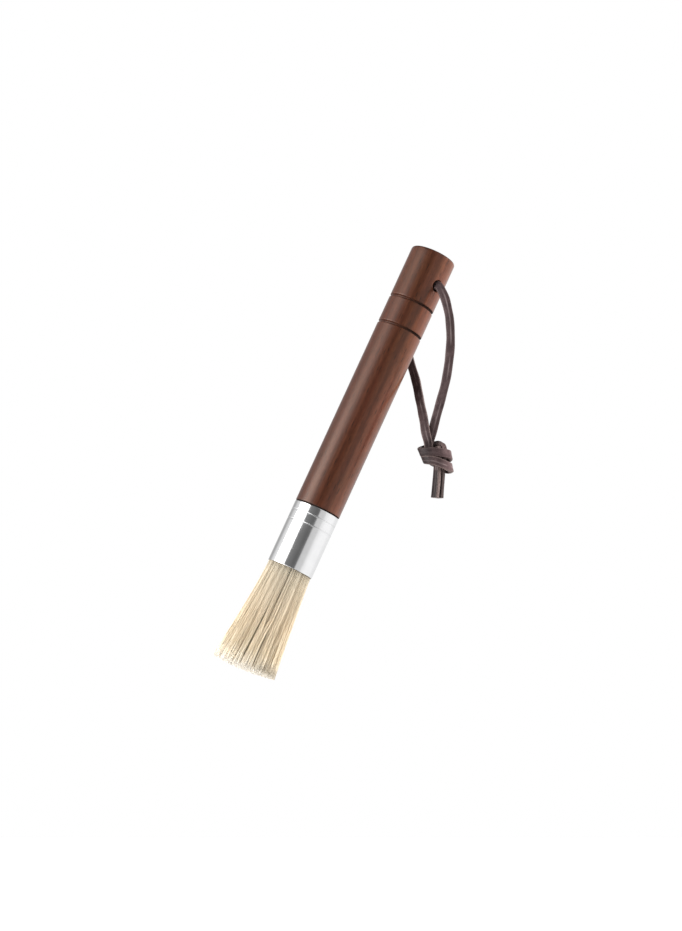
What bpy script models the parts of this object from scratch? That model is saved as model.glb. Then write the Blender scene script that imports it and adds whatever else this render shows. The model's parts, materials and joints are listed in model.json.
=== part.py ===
"""Pastry brush: turned wooden handle, aluminium ferrule, natural bristle, leather hanging loop.

Metres, +Z up. The origin is the middle of the grip, on the handle's axis. The brush is held leaning in
the XZ plane, its free end up and towards +X, so its loop hangs straight down from the cross hole.
"""
import math

import bmesh
import bpy
from mathutils import Matrix, Vector

# Driving dimensions
LEAN = math.radians(24.4)          # handle axis from the vertical, top towards +X
HANDLE_RADIUS = 0.0092
HANDLE_LENGTH = 0.1116             # wood that shows, end face to ferrule
END_TO_GRIP = 0.0600               # end face to the origin
END_ROUNDING = 0.0010
GROOVES_FROM_END = (0.0220, 0.0334)
GROOVE_WIDTH = 0.0010
GROOVE_DEPTH = 0.0005
HOLE_FROM_END = 0.0123
HOLE_RADIUS = 0.0022
HOLE_TURN = math.radians(47.0)     # hole axis round the handle, from -Y towards +X
TENON_LENGTH = 0.0105
FERRULE_LENGTH = 0.0254
FERRULE_WALL = 0.0004
CRIMPS_FROM_TOP = (0.0037, 0.0076)
CRIMP_WIDTH = 0.0006
CRIMP_DEPTH = 0.00016
RESIN_THICKNESS = 0.0030
FIT_GAP = 0.0003                   # between neighbouring solids

BUNDLE_RADIUS = 0.0087             # at the ferrule's mouth
TIP_RADIUS = 0.0124
BRISTLE_LENGTH = 0.0430            # mouth to the middle of the tips
TIP_CROWN = 0.0010                 # how far the middle stands past the rim
FLARE_POWER = 1.3
BEND_SPHERE = 0.0107               # round joint face between the held root and the free locks
LOCK_RINGS = (                     # inner and outer radius as a part of the bundle's, locks, arc steps
    (0.00, 0.30, 1, 12),
    (0.30, 0.65, 6, 4),
    (0.65, 1.00, 12, 4),
)
LOCK_LEVELS = 5

CORD_DIAMETER = 0.0028             # round stand-in of the flat lace's section area
CORD_SIDES = 2                     # bevel resolution
CORD_PITCH = 0.0028                # spacing of the points along a strand
KNOT_SIZE = (0.0142, 0.0104, 0.0122)
KNOT_CENTRE = (0.0049, -0.0070, -0.0705)
KNOT_TURN = math.radians(-4.0)
TAIL_LENGTH = 0.0098

# Routes of the lace, from the centre of the cross hole
FRONT_ROUTE = (
    (0.0075, -0.0085, -0.0042), (0.0084, -0.0098, -0.0072), (0.0092, -0.0109, -0.0097),
    (0.0099, -0.0119, -0.0137), (0.0105, -0.0125, -0.0178), (0.0108, -0.0128, -0.0258),
    (0.0101, -0.0126, -0.0336), (0.0089, -0.0112, -0.0412), (0.0070, -0.0087, -0.0486),
    (0.0049, -0.0063, -0.0561), (0.0034, -0.0054, -0.0638),
)
BACK_ROUTE = (
    (-0.0073, 0.0085, 0.0027), (-0.0078, 0.0102, 0.0012), (-0.0080, 0.0115, -0.0018),
    (-0.0078, 0.0122, -0.0060), (-0.0072, 0.0125, -0.0120), (-0.0062, 0.0125, -0.0185),
    (-0.0042, 0.0121, -0.0285), (-0.0020, 0.0090, -0.0373), (-0.0007, 0.0028, -0.0465),
    (0.0005, -0.0050, -0.0558), (0.0013, -0.0083, -0.0635),
)
TAIL_TOPS = ((0.0050, -0.0088, -0.0770), (0.0066, -0.0060, -0.0770))
TAIL_DRIFT = (-0.0007, 0.0002)     # sideways shift of a tail's cut end, x and y

# Worked out from the driving dimensions, along the handle's axis from the origin
SHOULDER = END_TO_GRIP - HANDLE_LENGTH
MOUTH = SHOULDER - FERRULE_LENGTH
TENON_END = SHOULDER - TENON_LENGTH
INNER_RADIUS = HANDLE_RADIUS - FERRULE_WALL - FIT_GAP
ROOT_TOP = TENON_END - RESIN_THICKNESS - 2 * FIT_GAP
TURN = Matrix.Rotation(LEAN, 4, "Y")
AXIS = TURN @ Vector((0, 0, 1))
HOLE_CENTRE = AXIS * (END_TO_GRIP - HOLE_FROM_END)
HOLE_AXIS = TURN @ Vector((math.sin(HOLE_TURN), -math.cos(HOLE_TURN), 0))


def clear_scene():
    for obj in list(bpy.data.objects):
        bpy.data.objects.remove(obj, do_unlink=True)


def new_collection(name):
    collection = bpy.data.collections.new(name)
    bpy.context.scene.collection.children.link(collection)
    return collection


def material(name, color, roughness, metallic=0.0):
    made = bpy.data.materials.new(name)
    made.use_nodes = True
    shader = made.node_tree.nodes["Principled BSDF"]
    shader.inputs["Base Color"].default_value = (*color, 1.0)
    shader.inputs["Roughness"].default_value = roughness
    shader.inputs["Metallic"].default_value = metallic
    return made


def add_object(name, data, collection, made, parent=None):
    obj = bpy.data.objects.new(name, data)
    collection.objects.link(obj)
    if made:
        data.materials.append(made)
    obj.parent = parent
    return obj


def add_empty(name, collection, matrix, parent=None):
    empty = bpy.data.objects.new(name, None)
    empty.empty_display_size = 0.01
    collection.objects.link(empty)
    empty.parent = parent
    empty.matrix_local = matrix
    return empty


def turned(name, profile, collection, made, parent, steps=64):
    """A solid of revolution about the local Z axis; the profile runs down its outer side."""
    mesh = bpy.data.meshes.new(name)
    points = [(radius, 0.0, height) for radius, height in profile]
    edges = [(i, i + 1) for i in range(len(points) - 1)]
    mesh.from_pydata(points, edges, [])
    obj = add_object(name, mesh, collection, made, parent)
    screw = obj.modifiers.new("turn", "SCREW")
    screw.axis = "Z"
    screw.angle = math.tau
    screw.steps = steps
    screw.render_steps = steps
    screw.use_merge_vertices = True
    screw.merge_threshold = 0.00005
    screw.use_smooth_shade = True
    return obj


def arc(centre_radius, centre_height, radius, start, end, count):
    """Profile points on an arc, angles in degrees from +X towards +Z."""
    points = []
    for i in range(count + 1):
        angle = math.radians(start + (end - start) * i / count)
        points.append((centre_radius + radius * math.cos(angle), centre_height + radius * math.sin(angle)))
    return points


def groove(outer_radius, height, width, depth):
    """Profile points of a V groove, top to bottom."""
    half = width / 2
    return [(outer_radius, height + half), (outer_radius - depth, height), (outer_radius, height - half)]


def build_handle(parts, cutters, axis_empty):
    made = material("walnut", (0.085, 0.038, 0.022), 0.5)
    corner = HANDLE_RADIUS - END_ROUNDING
    profile = [(0.0, END_TO_GRIP)]
    profile += arc(corner, END_TO_GRIP - END_ROUNDING, END_ROUNDING, 90, 0, 4)
    for distance in GROOVES_FROM_END:
        profile += groove(HANDLE_RADIUS, END_TO_GRIP - distance, GROOVE_WIDTH, GROOVE_DEPTH)
    edge = SHOULDER + FIT_GAP
    profile += [(HANDLE_RADIUS, edge + 0.0003), (HANDLE_RADIUS - 0.0003, edge), (INNER_RADIUS, edge)]
    profile += [(INNER_RADIUS, TENON_END + 0.0005), (INNER_RADIUS - 0.0005, TENON_END), (0.0, TENON_END)]
    handle = turned("handle", profile, parts, made, axis_empty)

    bpy.ops.mesh.primitive_cylinder_add(vertices=32, radius=HOLE_RADIUS, depth=4 * HANDLE_RADIUS)
    drill = bpy.context.object
    drill.name = "cross_hole_drill"
    drill.matrix_world = Matrix.Translation(HOLE_CENTRE) @ HOLE_AXIS.to_track_quat("Z", "X").to_matrix().to_4x4()
    move_to(drill, cutters)
    drill.hide_render = True
    drill.display_type = "WIRE"
    cut = handle.modifiers.new("cross_hole", "BOOLEAN")
    cut.operation = "DIFFERENCE"
    cut.solver = "EXACT"
    cut.object = drill
    return handle


def move_to(obj, collection):
    for old in list(obj.users_collection):
        old.objects.unlink(obj)
    collection.objects.link(obj)


def build_ferrule(parts, axis_empty):
    made = material("aluminium", (0.80, 0.80, 0.81), 0.16, 1.0)
    inner = HANDLE_RADIUS - FERRULE_WALL
    lip = FERRULE_WALL / 2
    profile = [(inner, SHOULDER)]
    profile += arc(HANDLE_RADIUS - lip, SHOULDER - lip, lip, 90, 0, 3)
    for distance in CRIMPS_FROM_TOP:
        profile += groove(HANDLE_RADIUS, SHOULDER - distance, CRIMP_WIDTH, CRIMP_DEPTH)
    profile += arc(HANDLE_RADIUS - lip, MOUTH + lip, lip, 0, -90, 3)
    profile += [(inner, MOUTH), (inner, SHOULDER)]
    return turned("ferrule", profile, parts, made, axis_empty)


def build_inner_pieces(parts, axis_empty):
    resin = material("resin", (0.55, 0.42, 0.25), 0.35)
    top = TENON_END - FIT_GAP
    bottom = top - RESIN_THICKNESS
    plug = [(0.0, top), (INNER_RADIUS, top), (INNER_RADIUS, bottom), (0.0, bottom)]
    turned("resin_plug", plug, parts, resin, axis_empty, 48)

    hair = material("bristle_held", (0.50, 0.40, 0.28), 0.6)
    root = [(0.0, ROOT_TOP), (INNER_RADIUS, ROOT_TOP), (INNER_RADIUS, MOUTH - FIT_GAP)]
    edge_depth = joint_face_depth(1.0, BEND_SPHERE)
    for share in (0.25, 0.5, 0.75):
        root.append((bundle_radius(edge_depth * share), MOUTH - edge_depth * share))
    dome_start = -math.degrees(math.asin(edge_depth / BEND_SPHERE))
    root += arc(0.0, MOUTH, BEND_SPHERE, dome_start, -90, 10)
    root[-1] = (0.0, MOUTH - BEND_SPHERE)
    turned("bristle_root", root, parts, hair, axis_empty, 48)


def bundle_radius(depth):
    """Outer radius of the free bristles at a depth below the mouth."""
    share = max(depth, 0.0) / BRISTLE_LENGTH
    return BUNDLE_RADIUS + (TIP_RADIUS - BUNDLE_RADIUS) * share ** FLARE_POWER


def joint_face_depth(share, sphere_radius):
    """Depth at which a line at this share of the bundle's radius meets the round joint face."""
    depth = sphere_radius
    for _ in range(12):
        depth = math.sqrt(max(sphere_radius ** 2 - (share * bundle_radius(depth)) ** 2, 0.0))
    return depth


def lock_outline(inner, outer, start, end, steps):
    """Outline of one lock: (share of the bundle's radius, angle, inset signs in radius and angle)."""
    if inner == 0.0:
        return [(outer, math.tau * i / steps, -1, 0) for i in range(steps)]
    outline = []
    for i in range(steps + 1):
        side = 1 if i == 0 else -1 if i == steps else 0
        outline.append((outer, start + (end - start) * i / steps, -1, side))
    for i in range(steps, -1, -1):
        side = 1 if i == 0 else -1 if i == steps else 0
        outline.append((inner, start + (end - start) * i / steps, 1, side))
    return outline


def lock_point(share, angle, inset_radius, inset_angle, level):
    """Point of a lock between its round top (level 0) and its crowned tip (level 1)."""
    depth = joint_face_depth(share, BEND_SPHERE + FIT_GAP)
    tip = BRISTLE_LENGTH - TIP_CROWN * share ** 2
    depth += (tip - depth) * level
    radius = share * bundle_radius(depth) + inset_radius * FIT_GAP / 2
    if share == 1.0:
        radius = bundle_radius(depth)
    if inset_angle:
        angle += inset_angle * FIT_GAP / 2 / radius
    return Vector((radius * math.cos(angle), radius * math.sin(angle), -depth))


def build_lock(name, inner, outer, start, end, steps, parts, made, parent):
    outline = lock_outline(inner, outer, start, end, steps)
    middle = (inner + outer) / 2 if inner else 0.0
    mesh = bpy.data.meshes.new(name)
    shape = bmesh.new()
    rows = []
    for i in range(LOCK_LEVELS):
        level = i / (LOCK_LEVELS - 1)
        rows.append([shape.verts.new(lock_point(*point, level)) for point in outline])
    count = len(outline)
    for upper, lower in zip(rows, rows[1:]):
        for i in range(count):
            j = (i + 1) % count
            shape.faces.new((upper[j], upper[i], lower[i], lower[j]))
    for level, row in ((0.0, rows[0]), (1.0, rows[-1])):
        centre = shape.verts.new(lock_point(middle, (start + end) / 2, 0, 0, level))
        for i in range(count):
            shape.faces.new((centre, row[i], row[(i + 1) % count]))
    bmesh.ops.recalc_face_normals(shape, faces=shape.faces)
    shape.to_mesh(mesh)
    shape.free()
    return add_object(name, mesh, parts, made, parent)


def build_bristles(parts, bend_empty):
    made = material("bristle", (0.62, 0.50, 0.35), 0.6)
    number = 0
    for inner, outer, locks, steps in LOCK_RINGS:
        for i in range(locks):
            number += 1
            start = math.tau * i / locks
            end = math.tau * (i + 1) / locks
            build_lock(f"tuft_{number:02d}", inner, outer, start, end, steps, parts, made, bend_empty)


def smooth_route(points, pitch):
    """Evenly spaced points on a Catmull-Rom curve through the given ones."""
    control = [Vector(p) for p in points]
    control = [2 * control[0] - control[1]] + control + [2 * control[-1] - control[-2]]
    fine = []
    for a, b, c, d in zip(control, control[1:], control[2:], control[3:]):
        for step in range(16):
            t = step / 16
            line = b + (c - a) * (t / 2)
            bend = (2 * a - 5 * b + 4 * c - d) * (t ** 2 / 2) + (3 * b - 3 * c + d - a) * (t ** 3 / 2)
            fine.append(line + bend)
    fine.append(control[-2])
    return even_points(fine, pitch)


def even_points(points, pitch):
    """The same line with its points at equal distances, close to the pitch."""
    lengths = [0.0]
    for p, q in zip(points, points[1:]):
        lengths.append(lengths[-1] + (q - p).length)
    count = max(round(lengths[-1] / pitch), 2)
    even = []
    i = 0
    for k in range(count + 1):
        goal = lengths[-1] * k / count
        while i < len(points) - 2 and lengths[i + 1] < goal:
            i += 1
        share = (goal - lengths[i]) / (lengths[i + 1] - lengths[i])
        even.append(points[i].lerp(points[i + 1], share))
    return even


def cord_piece(name, points, collection, made, parent):
    curve = bpy.data.curves.new(name, "CURVE")
    curve.dimensions = "3D"
    curve.bevel_depth = CORD_DIAMETER / 2
    curve.bevel_resolution = CORD_SIDES
    curve.use_fill_caps = True
    spline = curve.splines.new("POLY")
    spline.points.add(len(points) - 1)
    for target, point in zip(spline.points, points):
        target.co = (*point, 1.0)
    return add_object(name, curve, collection, made, parent)


def build_loop(parts, swing_empty):
    made = material("leather", (0.060, 0.038, 0.030), 0.6)
    reach = HANDLE_RADIUS
    cord_piece("cord_through", [HOLE_AXIS * -reach, HOLE_AXIS * reach], parts, made, swing_empty)
    for name, side, route in (("cord_front", 1, FRONT_ROUTE), ("cord_back", -1, BACK_ROUTE)):
        start = HOLE_AXIS * side * (reach + 3 * FIT_GAP)
        points = smooth_route([start, *(Vector(p) for p in route)], CORD_PITCH)
        cord_piece(name, points, parts, made, swing_empty)

    bpy.ops.mesh.primitive_uv_sphere_add(segments=24, ring_count=14, radius=0.5)
    knot = bpy.context.object
    knot.name = "cord_knot"
    shape = Matrix.Rotation(KNOT_TURN, 4, "Y") @ Matrix.Diagonal((*KNOT_SIZE, 1.0))
    knot.data.transform(Matrix.Translation(KNOT_CENTRE) @ shape)
    knot.data.shade_smooth()
    knot.data.materials.append(made)
    move_to(knot, parts)
    knot.parent = swing_empty

    for name, top in zip(("cord_tail_a", "cord_tail_b"), TAIL_TOPS):
        end = Vector(top) + Vector((*TAIL_DRIFT, -TAIL_LENGTH))
        cord_piece(name, [Vector(top), Vector(top).lerp(end, 0.5), end], parts, made, swing_empty)


def main():
    clear_scene()
    parts = new_collection("pastry_brush")
    cutters = new_collection("cutters")
    axis_empty = add_empty("brush_axis", parts, TURN)
    bend_empty = add_empty("bristle_bend", parts, Matrix.Translation((0, 0, MOUTH)), axis_empty)
    swing_empty = add_empty("cord_swing", parts, Matrix.Translation(HOLE_CENTRE))
    build_handle(parts, cutters, axis_empty)
    build_ferrule(parts, axis_empty)
    build_inner_pieces(parts, axis_empty)
    build_bristles(parts, bend_empty)
    build_loop(parts, swing_empty)


main()
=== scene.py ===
import json
import math
import random

import bmesh
import bpy
import numpy as np
from mathutils import Matrix, Vector


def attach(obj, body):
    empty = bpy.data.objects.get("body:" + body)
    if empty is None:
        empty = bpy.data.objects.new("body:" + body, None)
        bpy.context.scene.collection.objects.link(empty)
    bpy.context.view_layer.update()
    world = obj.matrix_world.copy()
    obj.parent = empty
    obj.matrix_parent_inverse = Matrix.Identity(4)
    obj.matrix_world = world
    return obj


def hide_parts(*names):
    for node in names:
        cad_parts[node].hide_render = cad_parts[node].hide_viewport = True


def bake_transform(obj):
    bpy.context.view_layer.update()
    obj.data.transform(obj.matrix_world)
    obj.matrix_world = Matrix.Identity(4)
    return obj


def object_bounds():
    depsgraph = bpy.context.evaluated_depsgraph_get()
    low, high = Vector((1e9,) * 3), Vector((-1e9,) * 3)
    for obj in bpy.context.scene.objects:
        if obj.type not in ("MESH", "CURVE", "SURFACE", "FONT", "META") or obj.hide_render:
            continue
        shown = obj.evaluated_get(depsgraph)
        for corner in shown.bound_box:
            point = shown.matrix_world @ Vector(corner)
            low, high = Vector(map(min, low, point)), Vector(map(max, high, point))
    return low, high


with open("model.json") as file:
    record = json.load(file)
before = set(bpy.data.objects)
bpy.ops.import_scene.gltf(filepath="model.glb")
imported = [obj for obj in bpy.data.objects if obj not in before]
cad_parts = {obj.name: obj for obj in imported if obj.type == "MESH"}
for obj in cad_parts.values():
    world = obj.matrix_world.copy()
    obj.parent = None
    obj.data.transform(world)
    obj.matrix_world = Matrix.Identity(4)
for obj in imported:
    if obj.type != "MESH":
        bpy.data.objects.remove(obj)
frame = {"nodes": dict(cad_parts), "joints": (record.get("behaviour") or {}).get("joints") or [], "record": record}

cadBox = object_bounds()
bpy.ops.object.select_all(action="DESELECT")
mm = 0.001

# where the model says things are
mounts = {m["name"]: m for m in frame["record"]["mounts"]}
joints = {j["name"]: j for j in frame["joints"]}
gripAxis = Vector(mounts["hand_grip"]["axis"]).normalized()
lean = math.atan2(gripAxis.x, gripAxis.z)
turnBrush = Matrix.Rotation(lean, 4, "Y")
# heights are measured along the handle's axis
handleEnd = Vector(mounts["handle_end"]["pos_m"]).dot(gripAxis)
mouth = Vector(joints["bristle_bend"]["pos_m"]).dot(gripAxis)
holeCentre = Vector(joints["cord_swing"]["pos_m"])
holeAxis = Vector(joints["cord_swing"]["axis"]).normalized()


# ---- camera, light and floor
view = {
    "distance": 0.7801,
    "elevation": -8.64,
    "aimX": -0.0120,
    "aimZ": -0.02948,
    "lens": 77.34,
    "sensor": 36,
    "nearest": 0.01,
}


def makeCamera():
    data = bpy.data.cameras.new("viewCamera")
    data.lens = view["lens"]
    data.sensor_width = view["sensor"]
    data.clip_start = view["nearest"]
    camera = bpy.data.objects.new("viewCamera", data)
    bpy.context.scene.collection.objects.link(camera)
    tilt = math.radians(view["elevation"])
    back = Vector((0, -math.cos(tilt), math.sin(tilt)))
    camera.location = Vector((view["aimX"], 0, view["aimZ"])) + back * view["distance"]
    camera.rotation_euler = (math.radians(90) - tilt, 0, 0)
    bpy.context.scene.camera = camera


studio = {
    "background": (1.0, 1.0, 1.0),
    # brightness of the surroundings by direction, in degrees to the right of the front
    "surround": [
        (-180, 0.85), (-165, 0.75), (-150, 0.55), (-138, 0.55), (-127, 0.75), (-116, 1.05), (-96, 1.40),
        (-84, 3.0), (-32, 3.0), (-28, 0.30), (-10, 0.25), (8, 0.18), (20, 0.22), (23, 0.88), (48, 0.94),
        (54, 1.20), (66, 1.36), (80, 1.45), (112, 1.45), (130, 1.26), (140, 1.20), (160, 1.05),
    ],
    "highFrom": 0.46,
    "highTo": 0.64,
    "highShare": 0.40,
    "floorDrop": 0.16,
    "floorSize": 6.0,
    "floorGlow": 0.45,
}


def addSurround(nodes, links, split):
    # the brightness of the surroundings as a ramp over the direction, and its strongest value
    flip = nodes.new("ShaderNodeMath")
    flip.operation = "MULTIPLY"
    flip.inputs[1].default_value = -1
    links.new(split.outputs["Y"], flip.inputs[0])
    turn = nodes.new("ShaderNodeMath")
    turn.operation = "ARCTAN2"
    links.new(split.outputs["X"], turn.inputs[0])
    links.new(flip.outputs[0], turn.inputs[1])
    span = nodes.new("ShaderNodeMapRange")
    span.inputs["From Min"].default_value = -math.pi
    span.inputs["From Max"].default_value = math.pi
    links.new(turn.outputs[0], span.inputs["Value"])
    ramp = nodes.new("ShaderNodeValToRGB")
    links.new(span.outputs[0], ramp.inputs[0])
    stops = studio["surround"]
    strongest = max(bright for _, bright in stops)
    while len(ramp.color_ramp.elements) < len(stops):
        ramp.color_ramp.elements.new(0.5)
    for element, (degrees, bright) in zip(ramp.color_ramp.elements, stops):
        element.position = (degrees + 180) / 360
        element.color = (*[bright / strongest] * 3, 1)
    return ramp.outputs[0], strongest


def makeStudio():
    world = bpy.data.worlds.new("paleStudio")
    bpy.context.scene.world = world
    world.use_nodes = True
    nodes, links = world.node_tree.nodes, world.node_tree.links
    nodes.clear()
    where = nodes.new("ShaderNodeTexCoord")
    split = nodes.new("ShaderNodeSeparateXYZ")
    links.new(where.outputs["Generated"], split.inputs[0])
    surround, strongest = addSurround(nodes, links, split)
    around = nodes.new("ShaderNodeBackground")
    high = nodes.new("ShaderNodeMapRange")
    high.inputs["From Min"].default_value = studio["highFrom"]
    high.inputs["From Max"].default_value = studio["highTo"]
    high.inputs["To Min"].default_value = strongest
    high.inputs["To Max"].default_value = strongest * studio["highShare"]
    links.new(split.outputs["Z"], high.inputs["Value"])
    links.new(high.outputs[0], around.inputs["Strength"])
    links.new(surround, around.inputs["Color"])
    plain = nodes.new("ShaderNodeBackground")
    plain.inputs["Color"].default_value = (*studio["background"], 1)
    rays = nodes.new("ShaderNodeLightPath")
    mix = nodes.new("ShaderNodeMixShader")
    links.new(rays.outputs["Is Camera Ray"], mix.inputs[0])
    links.new(around.outputs[0], mix.inputs[1])
    links.new(plain.outputs[0], mix.inputs[2])
    out = nodes.new("ShaderNodeOutputWorld")
    links.new(mix.outputs[0], out.inputs["Surface"])


def makeFloor():
    low = cadBox[0].z - studio["floorDrop"]
    bpy.ops.mesh.primitive_plane_add(size=studio["floorSize"], location=(0, 0, low))
    floor = bpy.context.object
    floor.name = "paleFloor"
    paint = bpy.data.materials.new("floorPaint")
    paint.use_nodes = True
    shader = paint.node_tree.nodes["Principled BSDF"]
    shader.inputs["Base Color"].default_value = (0.9, 0.9, 0.9, 1)
    shader.inputs["Roughness"].default_value = 0.9
    shader.inputs["Emission Color"].default_value = (1, 1, 1, 1)
    shader.inputs["Emission Strength"].default_value = studio["floorGlow"]
    floor.data.materials.append(paint)
    floor.visible_glossy = False
    floor.visible_diffuse = False


# softboxes: name, degrees right of the front, height angle, distance, size, power, seen in reflections
lamps = [
    ("leftSoftbox", -68, 10, 0.75, 0.52, 4.3, True),
    ("rightSoftbox", 84, 12, 0.85, 0.45, 10.5, False),
    ("topSoftbox", 160, 62, 0.80, 0.60, 0.8, False),
]


def makeLamps():
    for name, degrees, height, distance, size, power, reflected in lamps:
        data = bpy.data.lights.new(name, "AREA")
        data.shape = "SQUARE"
        data.size = size
        data.energy = power
        lamp = bpy.data.objects.new(name, data)
        bpy.context.scene.collection.objects.link(lamp)
        side, up = math.radians(degrees), math.radians(height)
        toLamp = Vector((math.sin(side) * math.cos(up), -math.cos(side) * math.cos(up), math.sin(up)))
        lamp.location = toLamp * distance
        lamp.rotation_mode = "QUATERNION"
        lamp.rotation_quaternion = toLamp.to_track_quat("Z", "Y")
        lamp.visible_camera = False
        lamp.visible_glossy = reflected


makeCamera()
makeStudio()
makeFloor()
makeLamps()
bpy.context.scene.view_settings.view_transform = "Standard"
print("camera, studio and lamps are set")


# ---- shared helpers
def activate(obj):
    bpy.ops.object.select_all(action="DESELECT")
    obj.select_set(True)
    bpy.context.view_layer.objects.active = obj


def applyModifiers(obj):
    activate(obj)
    for name in [m.name for m in obj.modifiers]:
        bpy.ops.object.modifier_apply(modifier=name)


def turnedPiece(name, rings, segments, closedTube=False):
    # a circle is extruded from ring to ring, (radius, height) each, along the handle's axis
    radius, height = rings[0]
    bpy.ops.mesh.primitive_circle_add(vertices=segments, radius=radius, location=(0, 0, height))
    obj = bpy.context.object
    obj.name = obj.data.name = name
    bpy.ops.object.transform_apply(location=True, rotation=True, scale=True)
    bpy.ops.object.mode_set(mode="EDIT")
    bpy.ops.mesh.select_all(action="SELECT")
    if not closedTube:
        bpy.ops.mesh.edge_face_add()
        bpy.ops.mesh.region_to_loop()
    for nextRadius, nextHeight in rings[1:]:
        shift = {"value": (0, 0, nextHeight - height)}
        bpy.ops.mesh.extrude_edges_move(TRANSFORM_OT_translate=shift)
        grow = nextRadius / radius
        bpy.ops.transform.resize(value=(grow, grow, 1), center_override=(0, 0, nextHeight))
        radius, height = nextRadius, nextHeight
    if not closedTube:
        bpy.ops.mesh.edge_face_add()
    bpy.ops.mesh.select_all(action="SELECT")
    bpy.ops.mesh.remove_doubles(threshold=0.000001)
    bpy.ops.mesh.normals_make_consistent(inside=False)
    bpy.ops.object.mode_set(mode="OBJECT")
    return obj


def roundCorner(radius, height, size, start, end, steps):
    # rings round a corner, angles in degrees from outwards towards up
    rings = []
    for i in range(steps + 1):
        angle = math.radians(start + (end - start) * i / steps)
        rings.append((radius + size * math.cos(angle), height + size * math.sin(angle)))
    return rings


def putOnBrush(obj):
    obj.data.transform(turnBrush)
    obj.data.update()


def smoothStep(value):
    value = np.clip(value, 0, 1)
    return value * value * (3 - 2 * value)


def newMaterial(name):
    made = bpy.data.materials.new(name)
    made.use_nodes = True
    tree = made.node_tree
    return made, tree.nodes, tree.links, tree.nodes["Principled BSDF"]


def setInputs(node, **values):
    for name, value in values.items():
        node.inputs[name.replace("_", " ")].default_value = value


def objectPlace(nodes):
    return nodes.new("ShaderNodeTexCoord").outputs["Object"]


def addAttribute(nodes, name):
    attribute = nodes.new("ShaderNodeAttribute")
    attribute.attribute_name = name
    return attribute


def addRamp(nodes, links, value, stops):
    ramp = nodes.new("ShaderNodeValToRGB")
    while len(ramp.color_ramp.elements) < len(stops):
        ramp.color_ramp.elements.new(0.5)
    for element, (position, color) in zip(ramp.color_ramp.elements, stops):
        element.position = position
        element.color = (*color, 1)
    links.new(value, ramp.inputs[0])
    return ramp.outputs[0]


def addGreys(nodes, links, value, low, lowGrey, high, highGrey):
    return addRamp(nodes, links, value, [(low, [lowGrey] * 3), (high, [highGrey] * 3)])


def addNoise(nodes, links, vector, scale, detail=4.0, roughness=0.5):
    noise = nodes.new("ShaderNodeTexNoise")
    noise.inputs["Scale"].default_value = scale
    noise.inputs["Detail"].default_value = detail
    noise.inputs["Roughness"].default_value = roughness
    links.new(vector, noise.inputs["Vector"])
    return noise


def addMapping(nodes, links, vector, scale=(1, 1, 1), turn=(0, 0, 0), shift=(0, 0, 0)):
    mapping = nodes.new("ShaderNodeMapping")
    mapping.inputs["Scale"].default_value = scale
    mapping.inputs["Rotation"].default_value = turn
    mapping.inputs["Location"].default_value = shift
    links.new(vector, mapping.inputs["Vector"])
    return mapping.outputs[0]


def addStreaks(nodes, links, vector, stretch, scale, detail, roughness=0.5):
    # noise drawn out along the handle: the smaller the stretch, the longer the streaks
    stretched = addMapping(nodes, links, vector, (1, 1, stretch))
    return addNoise(nodes, links, stretched, scale, detail, roughness)


def addMath(nodes, links, operation, first, second):
    worked = nodes.new("ShaderNodeMath")
    worked.operation = operation
    for socket, value in zip(worked.inputs, (first, second)):
        if isinstance(value, (int, float)):
            socket.default_value = value
        else:
            links.new(value, socket)
    return worked.outputs[0]


def mixColors(nodes, links, share, first, second, blend="MIX"):
    mix = nodes.new("ShaderNodeMix")
    mix.data_type = "RGBA"
    mix.blend_type = blend
    # inputs 6 and 7 are the two colours
    for socket, value in zip((mix.inputs["Factor"], mix.inputs[6], mix.inputs[7]), (share, first, second)):
        if isinstance(value, tuple):
            socket.default_value = (*value, 1)
        elif isinstance(value, (int, float)):
            socket.default_value = value
        else:
            links.new(value, socket)
    return mix.outputs[2]


def addBump(nodes, links, height, strength, distance, normal=None):
    bump = nodes.new("ShaderNodeBump")
    bump.inputs["Strength"].default_value = strength
    bump.inputs["Distance"].default_value = distance
    links.new(height, bump.inputs["Height"])
    if normal:
        links.new(normal, bump.inputs["Normal"])
    return bump.outputs[0]


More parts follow.
